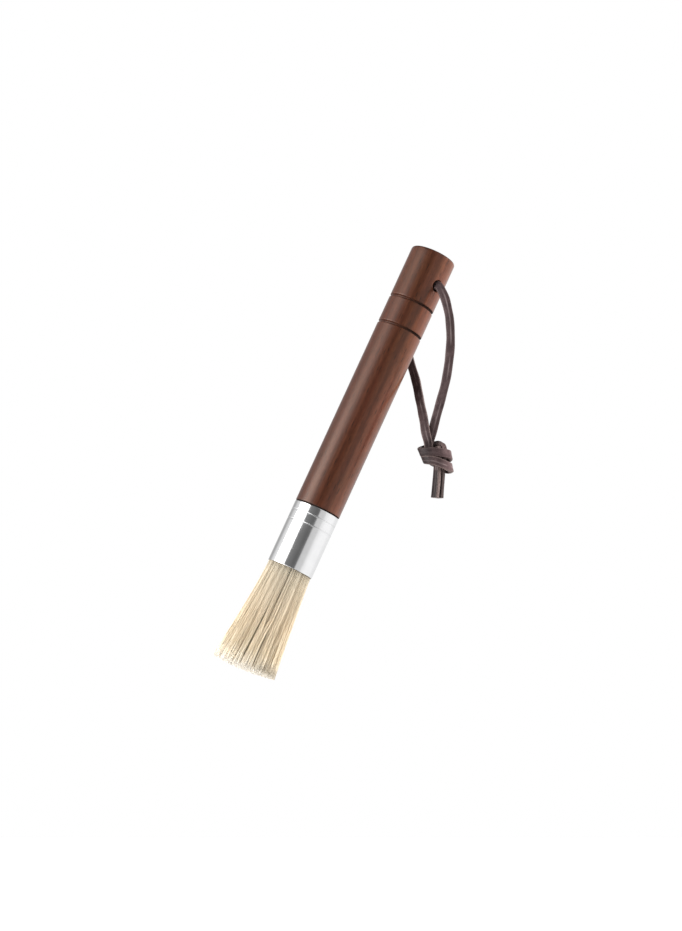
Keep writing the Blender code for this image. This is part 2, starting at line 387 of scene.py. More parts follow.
# ---- leather lace
lace = {
    "width": 3.4 * mm,
    "thickness": 1.7 * mm,
    "corner": 0.36 * mm,
    "ringStep": 0.5 * mm,
    "exitReach": 9,  # mm from the middle of the cross hole, just inside its mouths
    # slow waves along it, two in the width and one in the thickness: share, and radians from ring to ring
    "waves": [(0.025, 0.31), (0.02, 0.13), (0.03, 0.23)],
    # painted light and shade: paler on the knot's right, where light falls, and darker on its left and on the two
    # short ends, where shade falls
    "paintedLightKnot": 1.0,
    "paintedShadeKnot": 0.6,
    "paintedShadeEnds": 0.72,
    # from the middle of the cross hole, each with the lace's twist from facing the front, in degrees
    "front": [
        (0.0, 0.0, 0.0, 0), (3.4, -3.4, -1.4, 0), (5.6, -5.7, -2.2, 0), (6.6, -7.1, -3.0, 0),
        (7.4, -8.5, -4.7, 0), (8.35, -9.85, -7.2, 0), (9.1, -10.9, -9.7, 4), (9.9, -11.9, -13.7, 8),
        (10.5, -12.5, -17.8, 8), (10.75, -12.8, -25.8, 4), (10.1, -12.6, -33.6, 0), (8.9, -11.2, -41.2, -4),
        (7.0, -8.7, -48.6, -6), (4.9, -6.3, -56.1, -4), (3.75, -5.55, -61.0, 0),
    ],
    "back": [
        (0.0, 0.0, 0.0, 0), (-3.3, 3.4, 1.5, 0), (-5.9, 6.1, 2.7, 0), (-7.3, 8.5, 2.7, 0),
        (-7.8, 10.2, 1.2, 0), (-8.0, 11.5, -1.8, 0), (-7.8, 12.2, -6.0, 0), (-7.2, 12.5, -12.0, 0),
        (-6.2, 12.5, -18.5, 0), (-4.2, 12.1, -28.5, 8), (-2.0, 9.0, -37.3, 14), (-0.7, 2.8, -46.5, 16),
        (0.5, -5.0, -55.8, 16), (1.0, -8.0, -61.0, 10),
    ],
    "knotCentre": (4.9, -7.0, -70.5),
    # the two laces side by side through the knot: middle, half their spacing, direction of their width
    "knot": [
        ((-2.6, 0.5, 5.6), (0.35, 1.05, 0.0), (1.0, 0.0, 0.0)),
        ((-2.4, 0.5, 3.0), (0.35, 1.0, 0.0), (1.0, -0.1, 0.0)),
        ((-2.1, 0.6, 0.6), (0.5, 0.85, 0.0), (0.75, -0.6, 0.0)),
        ((-1.6, 1.2, -0.9), (0.75, 0.4, 0.2), (-0.2, 0.9, 0.0)),
        ((-0.5, 1.9, -1.7), (0.6, 0.0, 0.7), (-0.1, 1.0, 0.0)),
        ((1.2, 2.3, -2.3), (0.0, 0.0, 1.05), (0.0, 1.0, 0.2)),
        ((3.1, 1.9, -2.7), (-0.1, 0.0, 1.5), (-0.2, 0.6, 0.8)),
        ((4.8, 0.8, -2.7), (-0.1, 0.0, 2.1), (-0.2, 0.1, 1.0)),
        ((5.6, -0.8, -2.2), (-0.2, 0.0, 2.35), (-0.2, 0.0, 1.0)),
        ((4.8, -2.4, -1.9), (0.0, 0.0, 2.4), (-0.1, 0.0, 1.0)),
        ((2.6, -3.4, -1.2), (0.0, 0.0, 2.15), (0.0, -0.1, 1.0)),
        ((-0.4, -3.6, -0.5), (0.0, 0.0, 1.75), (0.0, -0.1, 1.0)),
        ((-3.1, -3.1, -0.2), (-0.3, 0.0, 1.6), (-0.2, -0.1, 1.0)),
        ((-4.9, -1.6, 0.1), (-0.65, 0.0, 1.45), (-0.4, 0.0, 1.0)),
        ((-5.1, 0.7, 0.9), (-0.5, 0.0, 1.45), (-0.35, 0.0, 1.0)),
        ((-3.9, 2.8, 1.7), (-0.2, 0.1, 1.45), (-0.1, 0.1, 1.0)),
        ((-1.8, 3.7, 2.6), (0.0, 0.1, 1.4), (0.0, 0.2, 1.0)),
        ((-0.2, 3.3, 3.6), (0.1, 0.0, 1.25), (0.0, 0.5, 0.8)),
        ((1.2, 2.1, 4.2), (0.4, 0.0, 1.0), (0.0, 0.95, 0.3)),
        ((2.3, 0.8, 3.5), (0.85, 0.0, 0.6), (-0.1, 1.0, 0.2)),
        ((2.6, -0.3, 1.8), (1.05, 0.1, 0.35), (0.1, 1.0, 0.1)),
        ((1.9, -0.9, -0.5), (1.0, 0.4, 0.1), (0.45, -0.85, 0.0)),
        ((1.45, -1.0, -3.2), (0.85, 0.5, 0.0), (0.5, -0.87, 0.0)),
        ((1.25, -0.9, -6.4), (0.78, 0.62, 0.0), (0.58, -0.81, 0.0)),
        ((0.95, -0.8, -10.5), (0.80, 0.64, 0.0), (0.60, -0.80, 0.0)),
        ((0.4, -0.7, -16.2), (0.84, 0.66, 0.0), (0.62, -0.78, 0.0)),
    ],
}


def smoothLine(rows, step):
    # rows of numbers whose first three are a place: the smooth line through them, at an even step
    control = np.array(rows, float)
    control = np.vstack([2 * control[0] - control[1], control, 2 * control[-1] - control[-2]])
    fine = []
    for a, b, c, d in zip(control, control[1:], control[2:], control[3:]):
        for t in np.linspace(0, 1, 24, endpoint=False):
            bend = (2 * a - 5 * b + 4 * c - d) * t ** 2 + (3 * b - 3 * c + d - a) * t ** 3
            fine.append(b + ((c - a) * t + bend) / 2)
    fine.append(control[-2])
    fine = np.array(fine)
    along = np.concatenate([[0], np.cumsum(np.linalg.norm(np.diff(fine[:, :3], axis=0), axis=1))])
    count = max(int(round(along[-1] / step)), 2)
    even = np.linspace(0, along[-1], count + 1)
    return np.stack([np.interp(even, along, fine[:, k]) for k in range(fine.shape[1])], axis=1)


def laceRoute(strand, side):
    # places in metres and width directions, from the hole through the knot to the cut end
    strandPoints = [holeCentre + Vector(row[:3]) * mm for row in lace[strand]]
    rows = []
    for i, point in enumerate(strandPoints):
        before, after = strandPoints[max(i - 1, 0)], strandPoints[min(i + 1, len(strandPoints) - 1)]
        along = (after - before).normalized()
        width = along.cross(Vector((0, 1, 0))).normalized()
        width = Matrix.Rotation(math.radians(lace[strand][i][3]), 3, along) @ width
        rows.append([*point, *width])
    centre = holeCentre + Vector(lace["knotCentre"]) * mm
    for middle, half, width in lace["knot"]:
        direction = Vector(width).normalized()
        if direction.dot(Vector(rows[-1][3:])) < 0:
            direction = -direction
        rows.append([*(centre + (Vector(middle) + Vector(half) * side) * mm), *direction])
    return rows


def sectionPoints():
    # a rounded rectangle: places across the width and the thickness, and how cut the side after each is
    corner = lace["corner"]
    straightX, straightY = lace["width"] / 2 - corner, lace["thickness"] / 2 - corner
    arcs = []
    for quarter, (signX, signY) in enumerate(((1, -1), (1, 1), (-1, 1), (-1, -1))):
        angles = [math.radians(degrees + 90 * quarter) for degrees in (-90, -45, 0)]
        arcs.append([
            (signX * straightX + corner * math.cos(angle), signY * straightY + corner * math.sin(angle))
            for angle in angles
        ])
    points = []
    for quarter, (first, second, third) in enumerate(arcs):
        cutSide = 1.0 if quarter in (0, 2) else 0.0
        following = arcs[(quarter + 1) % 4][0]
        halfway = [(a + b) / 2 for a, b in zip(third, following)]
        points += [(*first, 0.5), (*second, 0.5), (*third, cutSide), (*halfway, cutSide)]
    return points


def knotPaintedLight(point):
    # painted light and shade on the leather, as a colour factor, by its place in mm from the knot's middle
    x, _, z = (point - holeCentre) / mm - Vector(lace["knotCentre"])
    near = smoothStep((7.5 - z) / 3)
    low = smoothStep((-4.0 - z) / 2.5)
    pale = lace["paintedLightKnot"] * smoothStep((x - 0.8) / 3.5) * (1 - low)
    dark = lace["paintedShadeKnot"] * smoothStep((-0.5 - x) / 3.0) * (1 - low)
    return float(1 + near * (pale - dark) - lace["paintedShadeEnds"] * low)


def makeLace(name, strand, side, seed, edgeTone):
    rows = smoothLine(laceRoute(strand, side), lace["ringStep"])
    section = sectionPoints()
    chance = random.Random(seed)
    phase = [chance.uniform(0, math.tau) for _ in range(3)]
    shape = bmesh.new()
    edgeLayer = shape.faces.layers.float.new("cutEdge")
    paintedLightLayer = shape.verts.layers.float.new("paintedLight")
    acrossLayer = shape.verts.layers.float.new("across")
    wide, ripple, thickened = lace["waves"]
    rings = []
    for n, row in enumerate(rows):
        before, after = rows[max(n - 1, 0)], rows[min(n + 1, len(rows) - 1)]
        along = Vector(after[:3] - before[:3]).normalized()
        width = Vector(row[3:6])
        width = (width - along * width.dot(along)).normalized()
        thick = along.cross(width)
        wobble = 1 + wide[0] * math.sin(n * wide[1] + phase[0])
        wobble += ripple[0] * math.sin(n * ripple[1] + phase[1])
        swell = 1 + thickened[0] * math.sin(n * thickened[1] + phase[2])
        centre = Vector(row[:3])
        rings.append([
            shape.verts.new(centre + width * x * wobble + thick * y * swell) for x, y, _ in section
        ])
        for vertex, (x, y, _) in zip(rings[-1], section):
            # the knot's painted light and shade, kept on each vertex
            vertex[paintedLightLayer] = knotPaintedLight(centre)
            vertex[acrossLayer] = 0.5 + x / lace["width"]
    count = len(section)
    for upper, lower in zip(rings, rings[1:]):
        for i in range(count):
            j = (i + 1) % count
            face = shape.faces.new((upper[i], upper[j], lower[j], lower[i]))
            face[edgeLayer] = section[i][2] * edgeTone
    for ring, inward in ((rings[0], True), (rings[-1], False)):
        face = shape.faces.new(ring if inward else ring[::-1])
        face[edgeLayer] = 1.0
    bmesh.ops.recalc_face_normals(shape, faces=shape.faces)
    mesh = bpy.data.meshes.new(name)
    shape.to_mesh(mesh)
    shape.free()
    obj = bpy.data.objects.new(name, mesh)
    bpy.context.scene.collection.objects.link(obj)
    activate(obj)
    bpy.ops.object.shade_smooth_by_angle(angle=math.radians(50))
    return obj, rows[:, :3]


def leatherMaterial():
    made, nodes, links, shader = newMaterial("laceLeather")
    where = objectPlace(nodes)
    patches = addNoise(nodes, links, where, 260, 5, 0.6)
    grain = addRamp(nodes, links, patches.outputs["Fac"], [
        (0.30, (0.034, 0.021, 0.021)), (0.55, (0.066, 0.042, 0.042)), (0.8, (0.115, 0.080, 0.079)),
    ])
    fibres = addNoise(nodes, links, where, 1600, 6, 0.7)
    raw = addRamp(nodes, links, fibres.outputs["Fac"], [
        (0.30, (0.11, 0.075, 0.066)), (0.60, (0.25, 0.185, 0.17)), (0.85, (0.42, 0.34, 0.31)),
    ])
    # a painted highlight streak runs along the lace in places, and the knot's painted light and shade is
    # multiplied in
    highlightAcross = addRamp(nodes, links, addAttribute(nodes, "across").outputs["Fac"], [
        (0.44, (0, 0, 0)), (0.52, (1, 1, 1)), (0.57, (1, 1, 1)), (0.66, (0, 0, 0)),
    ])
    places = addGreys(nodes, links, addNoise(nodes, links, where, 110, 2).outputs["Fac"], 0.40, 0, 0.62, 1)
    highlightShare = addMath(nodes, links, "MULTIPLY", highlightAcross, places)
    highlightShare = addMath(nodes, links, "MULTIPLY", highlightShare, 0.7)
    withHighlight = mixColors(nodes, links, highlightShare, grain, (0.23, 0.18, 0.175))
    paintedLight = addAttribute(nodes, "paintedLight").outputs["Color"]
    withPaintedLight = mixColors(nodes, links, 1.0, withHighlight, paintedLight, "MULTIPLY")
    # the cut edges show the raw leather
    share = addMath(nodes, links, "MULTIPLY", addAttribute(nodes, "cutEdge").outputs["Fac"], 0.8)
    links.new(mixColors(nodes, links, share, withPaintedLight, raw), shader.inputs["Base Color"])
    pebble = nodes.new("ShaderNodeTexVoronoi")
    pebble.inputs["Scale"].default_value = 2600
    links.new(where, pebble.inputs["Vector"])
    pebbled = addBump(nodes, links, pebble.outputs["Distance"], 0.35, 0.00012)
    links.new(addBump(nodes, links, fibres.outputs["Fac"], 0.4, 0.00015, pebbled), shader.inputs["Normal"])
    setInputs(shader, Roughness=0.5, Specular_IOR_Level=0.18)
    return made


leather = leatherMaterial()
# each half: its strand, its side of the pair, its seed, how much its cut edges show the pale raw leather (lower on
# the front lace, as painted shade), and its two CAD nodes
halves = (
    ("laceFront", "front", 1, 11, 0.35, "cord_front", "cord_tail_a"),
    ("laceBack", "back", -1, 23, 1.0, "cord_back", "cord_tail_b"),
)
for name, strand, side, seed, edgeTone, strandNode, tailNode in halves:
    piece, path = makeLace(name, strand, side, seed, edgeTone)
    piece.data.materials.append(leather)
    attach(piece, "hang_loop")
    if side > 0:
        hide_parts(strandNode, tailNode, "cord_through", "cord_knot")
    else:
        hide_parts(strandNode, tailNode)
print("leather lace is tied")


# ---- wooden handle
handle = {
    "radius": 9.2 * mm,
    "endRounding": 1.1 * mm,
    "grooveWidth": 1.1 * mm,
    "grooveDepth": 0.8 * mm,
    "grooveEdge": 0.12 * mm,
    "groovesFromEnd": [22.0 * mm, 33.4 * mm],
    "groovesBetween": (20 * mm, 35 * mm),  # from the end, a stretch that holds them all
    "shoulderRounding": 0.35 * mm,
    "holeRadius": 2.2 * mm,
    "holeFlare": 0.35 * mm,
    "tenonRadius": 8.5 * mm,
    "tenonLength": 10.5 * mm,
    "ferruleLength": 25.4 * mm,
    "gap": 0.3 * mm,
    "ringStep": 2.0 * mm,
    "segments": 160,
    # how dark the painted shade is in the grooves on their lit side, and on the rounded end
    "leastPaintedShade": 0.22,
    "endPaintedShade": 0.55,
}
shoulder = mouth + handle["ferruleLength"] + handle["gap"]


def handleRings():
    radius, rounding = handle["radius"], handle["endRounding"]
    rings = roundCorner(radius - rounding, handleEnd - rounding, rounding, 90, 0, 8)
    level = handleEnd - rounding
    # a groove's upper half, as inward and upward distances
    half, depth, edge = handle["grooveWidth"] / 2, handle["grooveDepth"], handle["grooveEdge"]
    profile = [(0, half + 3 * edge), (0, half + edge), (0.3 * edge, half + 0.3 * edge), (edge, half)]
    profile += [(depth * 0.8, half * 0.62), (depth, half * 0.3)]
    for stop in [handleEnd - distance for distance in handle["groovesFromEnd"]] + [shoulder]:
        bottom = stop + (half + 3 * edge if stop != shoulder else 0.8 * mm)
        count = int((level - bottom) / handle["ringStep"]) + 1
        for k in range(1, count + 1):
            rings.append((radius, level + (bottom - level) * k / count))
        if stop != shoulder:
            rings += [(radius - inward, stop + offset) for inward, offset in profile[1:]]
            rings += [(radius - inward, stop - offset) for inward, offset in profile[::-1]]
            level = stop - profile[0][1]
    small = handle["shoulderRounding"]
    rings += roundCorner(radius - small, shoulder + small, small, 0, -90, 4)
    tenonEnd = mouth + handle["ferruleLength"] - handle["tenonLength"]
    rings += [(handle["tenonRadius"], shoulder), (handle["tenonRadius"], tenonEnd + 0.5 * mm)]
    rings += [(handle["tenonRadius"] - 0.5 * mm, tenonEnd)]
    return rings


def markPaintedShade(obj):
    # painted shade: 1 in the cross hole and at the shoulder, less in the grooves and on the rounded end, 0 on the
    # rest
    cut = []
    radius = handle["radius"]
    across = turnBrush.to_3x3() @ Vector((1, 0, 0))
    nearest, farthest = handle["groovesBetween"]
    for vertex in obj.data.vertices:
        height = vertex.co.dot(gripAxis)
        away = (vertex.co - gripAxis * height).length
        fromHole = vertex.co - holeCentre
        fromHole = (fromHole - holeAxis * fromHole.dot(holeAxis)).length
        if fromHole < handle["holeRadius"] + 0.1 * mm or height < shoulder + 0.3 * mm:
            cut.append(1.0)
        elif away < radius - 0.08 * mm and handleEnd - farthest < height < handleEnd - nearest:
            # painted shade in the grooves, darkest on the side the light doesn't reach
            side = (vertex.co.dot(across) / radius + 0.15) / 0.75
            least = handle["leastPaintedShade"]
            cut.append(least + (1 - least) * min(max(side, 0), 1))
        elif height > handleEnd - 0.55 * handle["endRounding"]:
            cut.append(handle["endPaintedShade"])
        else:
            cut.append(0.0)
    layer = obj.data.attributes.new("cut", "FLOAT", "POINT")
    layer.data.foreach_set("value", cut)


def makeHandle():
    obj = turnedPiece("woodHandle", handleRings(), handle["segments"])
    putOnBrush(obj)
    reach = handle["radius"]
    bare, flare = handle["holeRadius"], handle["holeRadius"] + handle["holeFlare"]
    # the drill widens to a small flare at both mouths
    rings = [(flare * 1.25, -reach * 1.12), (flare, -reach)]
    rings += [(bare + 0.1 * mm, -reach * 0.955), (bare, -reach * 0.9)]
    rings += [(radius, -height) for radius, height in reversed(rings)]
    drill = turnedPiece("holeDrill", rings, 64)
    aim = holeAxis.to_track_quat("Z", "X").to_matrix().to_4x4()
    drill.data.transform(Matrix.Translation(holeCentre) @ aim)
    cut = obj.modifiers.new("crossHole", "BOOLEAN")
    cut.operation = "DIFFERENCE"
    cut.solver = "EXACT"
    cut.object = drill
    applyModifiers(obj)
    bpy.data.objects.remove(drill)
    markPaintedShade(obj)
    activate(obj)
    bpy.ops.object.shade_smooth_by_angle(angle=math.radians(32))
    return obj


def walnutRings(nodes, links, bent):
    # growth rings stretched far along the rod, with broad lighter and redder streaks
    rings = nodes.new("ShaderNodeTexWave")
    rings.wave_type = "RINGS"
    rings.rings_direction = "Z"
    rings.inputs["Scale"].default_value = 95
    rings.inputs["Distortion"].default_value = 5.0
    rings.inputs["Detail"].default_value = 3.0
    rings.inputs["Detail Scale"].default_value = 1.6
    stretched = addMapping(nodes, links, bent, (1, 1, 0.035), shift=(0.021, 0.009, 0))
    links.new(stretched, rings.inputs["Vector"])
    wood = addRamp(nodes, links, rings.outputs["Fac"], [
        (0.0, (0.054, 0.0135, 0.0064)), (0.35, (0.062, 0.0162, 0.0078)),
        (0.7, (0.069, 0.0188, 0.0092)), (1.0, (0.077, 0.0225, 0.0114)),
    ])
    streaks = addStreaks(nodes, links, bent, 0.05, 260, 5, 0.6)
    streakShare = addGreys(nodes, links, streaks.outputs["Fac"], 0.38, 0, 0.62, 1)
    lighter = mixColors(nodes, links, 0.25, wood, (0.095, 0.034, 0.016))
    return mixColors(nodes, links, streakShare, wood, lighter)


def walnutFigure(nodes, links, turned, fibres, color):
    # fine dark fibres, a short mottled figure and a slow olive cast
    fibreTone = addGreys(nodes, links, fibres.outputs["Fac"], 0.35, 0.80, 0.62, 1.08)
    lined = mixColors(nodes, links, 0.8, color, fibreTone, "MULTIPLY")
    flecks = addStreaks(nodes, links, turned, 0.3, 1100, 4, 0.6)
    fleckTone = addGreys(nodes, links, flecks.outputs["Fac"], 0.34, 0.82, 0.66, 1.2)
    mottled = mixColors(nodes, links, 0.9, lined, fleckTone, "MULTIPLY")
    cast = addStreaks(nodes, links, turned, 0.3, 130, 2)
    castTone = addRamp(nodes, links, cast.outputs["Fac"], [
        (0.46, (1.0, 1.0, 1.0)), (0.70, (0.98, 1.08, 0.95)),
    ])
    return mixColors(nodes, links, 1.0, mottled, castTone, "MULTIPLY")


def paintedSideLight(nodes, links, bent, color):
    # painted light: the rod is brightened up to 1.65 times towards its right edge, where the light falls
    side = nodes.new("ShaderNodeSeparateXYZ")
    links.new(bent, side.inputs[0])
    band = nodes.new("ShaderNodeMapRange")
    band.interpolation_type = "SMOOTHSTEP"
    band.inputs["From Min"].default_value = handle["radius"] * 0.62
    band.inputs["From Max"].default_value = handle["radius"] * 0.90
    band.inputs["To Min"].default_value = 1.0
    band.inputs["To Max"].default_value = 1.65
    links.new(side.outputs["X"], band.inputs["Value"])
    return mixColors(nodes, links, 1.0, color, band.outputs[0], "MULTIPLY")


def walnutMaterial():
    made, nodes, links, shader = newMaterial("oiledWalnut")
    turned = addMapping(nodes, links, objectPlace(nodes), turn=(0, -lean, 0))
    # slow bends in the grain
    drift = addStreaks(nodes, links, turned, 0.12, 70, 3)
    bender = nodes.new("ShaderNodeMix")
    bender.data_type = "VECTOR"
    bender.inputs["Factor"].default_value = 0.0035
    links.new(turned, bender.inputs[4])
    links.new(drift.outputs["Color"], bender.inputs[5])
    bent = bender.outputs[1]
    fibres = addStreaks(nodes, links, turned, 0.03, 1900, 4, 0.65)
    color = walnutRings(nodes, links, bent)
    color = walnutFigure(nodes, links, turned, fibres, color)
    color = paintedSideLight(nodes, links, bent, color)
    # open pores, short dashes along the rod
    pores = nodes.new("ShaderNodeTexVoronoi")
    pores.inputs["Scale"].default_value = 1300
    links.new(addMapping(nodes, links, turned, (1, 1, 0.09)), pores.inputs["Vector"])
    poreShare = addGreys(nodes, links, pores.outputs["Distance"], 0.10, 1, 0.20, 0)
    color = mixColors(nodes, links, poreShare, color, (0.012, 0.006, 0.004))
    # painted shade darkens the cross hole, the shoulder, the grooves and the rounded end almost to black, and
    # these places are also dull
    cut = addAttribute(nodes, "cut").outputs["Fac"]
    paintedShadeShare = addMath(nodes, links, "MULTIPLY", cut, 0.85)
    color = mixColors(nodes, links, paintedShadeShare, color, (0.010, 0.004, 0.003))
    links.new(color, shader.inputs["Base Color"])
    polish = addGreys(nodes, links, fibres.outputs["Fac"], 0.3, 0.29, 0.7, 0.34)
    links.new(mixColors(nodes, links, cut, polish, (0.85, 0.85, 0.85)), shader.inputs["Roughness"])
    fine = addBump(nodes, links, fibres.outputs["Fac"], 0.18, 0.00008)
    links.new(addBump(nodes, links, poreShare, -0.3, 0.0001, fine), shader.inputs["Normal"])
    setInputs(shader, Specular_IOR_Level=0.44, Specular_Tint=(1.0, 0.80, 0.70, 1))
    return made


walnut = walnutMaterial()
woodHandle = makeHandle()
woodHandle.data.materials.clear()
woodHandle.data.materials.append(walnut)
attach(woodHandle, "handle")
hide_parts("handle")
print("wooden handle is turned")


# ---- aluminium ferrule
ferrule = {
    "radius": handle["radius"],
    "wall": 0.4 * mm,
    "length": handle["ferruleLength"],
    "crimpsFromTop": [3.5 * mm, 7.4 * mm],
    "crimpWidth": 0.5 * mm,
    "crimpDepth": 0.09 * mm,
    "crimpMargin": 0.02 * mm,
    "supportGap": 0.15 * mm,
    "segments": 160,
}


def ferruleRings():
    radius, wall = ferrule["radius"], ferrule["wall"]
    top, bottom, lip = mouth + ferrule["length"], mouth, wall / 2
    rings = roundCorner(radius - lip, top - lip, lip, 180, 0, 8)
    # pairs of rings a small gap apart keep the shading crisp beside the lips and the crimps
    half, depth, gap = ferrule["crimpWidth"] / 2, ferrule["crimpDepth"], ferrule["supportGap"]
    rings += [(radius, top - lip - gap), (radius, top - lip - 2 * gap)]
    for distance in ferrule["crimpsFromTop"]:
        level = top - distance
        rings += [(radius, level + half + 2 * gap), (radius, level + half + gap)]
        for k in range(9):
            share = k / 8 * 2 - 1
            rings.append((radius - depth * (0.5 + 0.5 * math.cos(math.pi * share)), level - half * share))
        rings += [(radius, level - half - gap), (radius, level - half - 2 * gap)]
    rings += [(radius, top - 12 * mm), (radius, bottom + 3 * mm)]
    rings += [(radius, bottom + lip + 2 * gap), (radius, bottom + lip + gap)]
    rings += roundCorner(radius - lip, bottom + lip, lip, 0, -180, 8)
    rings += [(radius - wall, bottom + 8 * mm), (radius - wall, top - lip)]
    return rings


def aluminiumMaterial():
    made, nodes, links, shader = newMaterial("polishedAluminium")
    turned = addMapping(nodes, links, objectPlace(nodes), turn=(0, -lean, 0))
    # fine drawing lines along the tube and faint cloudy handling marks
    drawn = addStreaks(nodes, links, turned, 0.02, 2400, 3, 0.6)
    clouds = addNoise(nodes, links, turned, 150, 4, 0.6).outputs["Fac"]
    tone = addRamp(nodes, links, clouds, [(0.3, (0.60, 0.60, 0.605)), (0.7, (0.66, 0.66, 0.663))])
    links.new(tone, shader.inputs["Base Color"])
    rough = addGreys(nodes, links, clouds, 0.3, 0.10, 0.75, 0.17)
    crimped = addAttribute(nodes, "crimp").outputs["Fac"]
    links.new(mixColors(nodes, links, crimped, rough, (0.36, 0.36, 0.36)), shader.inputs["Roughness"])
    links.new(addBump(nodes, links, drawn.outputs["Fac"], 0.10, 0.00003), shader.inputs["Normal"])
    setInputs(shader, Metallic=1.0)
    return made


def markCrimps(obj):
    # 1 in the pressed lines, which are duller than the drawn tube
    reach = ferrule["crimpWidth"] / 2 + ferrule["crimpMargin"]
    levels = [mouth + ferrule["length"] - distance for distance in ferrule["crimpsFromTop"]]
    values = []
    for vertex in obj.data.vertices:
        height = vertex.co.dot(gripAxis)
        values.append(1.0 if min(abs(height - level) for level in levels) < reach else 0.0)
    layer = obj.data.attributes.new("crimp", "FLOAT", "POINT")
    layer.data.foreach_set("value", values)


aluminium = aluminiumMaterial()
tube = turnedPiece("ferruleTube", ferruleRings(), ferrule["segments"], closedTube=True)
putOnBrush(tube)
markCrimps(tube)
activate(tube)
bpy.ops.object.shade_smooth_by_angle(angle=math.radians(60))
tube.data.materials.append(aluminium)
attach(tube, "handle")
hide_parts("ferrule")
print("ferrule is drawn")


# ---- resin and the held root of the bristles
def resinMaterial():
    made, nodes, links, shader = newMaterial("castResin")
    cloudy = addNoise(nodes, links, objectPlace(nodes), 400, 4, 0.6)
    tone = addRamp(nodes, links, cloudy.outputs["Fac"], [
        (0.3, (0.40, 0.28, 0.14)), (0.7, (0.58, 0.44, 0.26)),
    ])
    links.new(tone, shader.inputs["Base Color"])
    setInputs(shader, Roughness=0.3)
    return made


plug = frame["nodes"]["resin_plug"]
plug.data.materials.clear()
plug.data.materials.append(resinMaterial())

bundle = {
    "rootRadius": 8.7 * mm,
    "tipRadius": 12.7 * mm,
    "sweep": 0.35 * mm,
    "length": 42.3 * mm,
    "crown": 1.0 * mm,
    "flare": 1.2,
    "heldDepth": 4.0 * mm,
    "hairs": 9200,
    "hairRadius": 0.10 * mm,
    "tipRatio": 0.85,
    "tipTilt": 0.5 * mm,
    "hairCuts": 8,
    # rings of locks: inner and outer share of the radius, number of locks
    "rings": [(0.0, 0.30, 1), (0.30, 0.65, 6), (0.65, 1.0, 12)],
    # part of the outer hairs stand on the rim
    "rimHairs": 0.22,
    "rim": (0.965, 1.0),
    "hairsInClump": 8,
    "clumpPull": 0.36,
    "lockPull": 0.06,
    "pullStart": 0.12,
    "pullLength": 0.9,
    "uneven": 0.42 * mm,
    "wave": 0.16 * mm,
    "curl": 0.36 * mm,
    "seed": 7,
    # partings: degrees to the right of the front, start and end along the bristle, half opening in degrees
    "partings": [
        (6, -0.10, 0.62, 3.6), (-38, 0.04, 0.32, 2.0), (-5, 0.34, 1.02, 2.2), (-27, 0.56, 1.0, 2.4),
        (37, 0.42, 0.78, 2.2), (17, 0.56, 1.05, 2.6), (49, 0.62, 1.1, 4.0), (-58, 0.5, 1.0, 2.2),
    ],
    # the others are drawn between these limits: how many, degrees, start, length, half opening
    "otherPartings": (22, (65, 297), (-0.1, 0.7), (0.3, 0.6), (1.6, 3.2)),
    "partingEdge": 0.02,
    "partingReach": 0.13,
    "partingFade": 0.12,
    # two heights above and below the ferrule's mouth
    "bend": (6.0 * mm, -7.0 * mm),
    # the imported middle: its radius in the ferrule, how far up and down it reaches, its share of the bundle
    "coreRadius": 8.5 * mm,
    "coreTop": 11 * mm,
    "coreDepths": range(2, 27, 4),
    "coreShare": 0.90,
    "coreTaper": 0.024,
}


def bundleRadius(depth):
    share = np.clip(depth, 0, None) / bundle["length"]
    return bundle["rootRadius"] + (bundle["tipRadius"] - bundle["rootRadius"]) * share ** bundle["flare"]


def hairTemplate():
    # one bristle: a three-sided tapering rod from z 0 to z -1, cut across at even steps
    bpy.ops.mesh.primitive_cone_add(
        vertices=3, radius1=bundle["tipRatio"], radius2=1.0, depth=1.0,
        location=(0, 0, -0.5), end_fill_type="NGON",
    )
    rod = bpy.context.object
    bpy.ops.object.transform_apply(location=True, rotation=True, scale=True)
    bpy.ops.object.mode_set(mode="EDIT")
    lengths = bundle["hairCuts"] + 1
    for cut in range(1, lengths):
        bpy.ops.mesh.select_all(action="SELECT")
        bpy.ops.mesh.bisect(plane_co=(0, 0, -cut / lengths), plane_no=(0, 0, 1))
    bpy.ops.mesh.select_all(action="SELECT")
    bpy.ops.mesh.normals_make_consistent(inside=False)
    bpy.ops.object.mode_set(mode="OBJECT")
    points = np.array([v.co[:] for v in rod.data.vertices])
    faces = [list(p.vertices) for p in rod.data.polygons]
    bpy.data.objects.remove(rod)
    return points, faces


def partingList(chance):
    rows = list(bundle["partings"])
    others, degrees, starts, runs, openings = bundle["otherPartings"]
    for _ in range(others):
        centre, start = chance.uniform(*degrees), chance.uniform(*starts)
        rows.append((centre, start, start + chance.uniform(*runs), chance.uniform(*openings)))
    return rows


def bundlePlace(share, angle, depth, partings):
    # a place in the bundle: share of its radius, angle from the local X axis, depth below the mouth
    level = depth / bundle["length"]
    fade = bundle["partingFade"]
    shift = np.zeros_like(angle * level)
    for degrees, start, end, opening in partings:
        centre = math.radians(degrees - 90)
        away = (angle - centre + math.pi) % math.tau - math.pi
        window = smoothStep((level - start) / fade) * (1 - smoothStep((level - end + 0.1) / fade))
        pushed = np.tanh(away / bundle["partingEdge"]) * np.exp(-(away / bundle["partingReach"]) ** 2)
        shift = shift + pushed * window * math.radians(opening)
    # the middle of the bundle stays closed, and the tips lean a little to one side
    turned = angle + shift * smoothStep((share - 0.30) / 0.5)
    radius = share * bundleRadius(depth)
    sweep = bundle["sweep"] * smoothStep((level - 0.35) / 0.6)
    return radius * np.cos(turned) - sweep, radius * np.sin(turned)


def flatPlace(share, angle):
    return np.stack([share * np.cos(angle), share * np.sin(angle)], axis=-1)


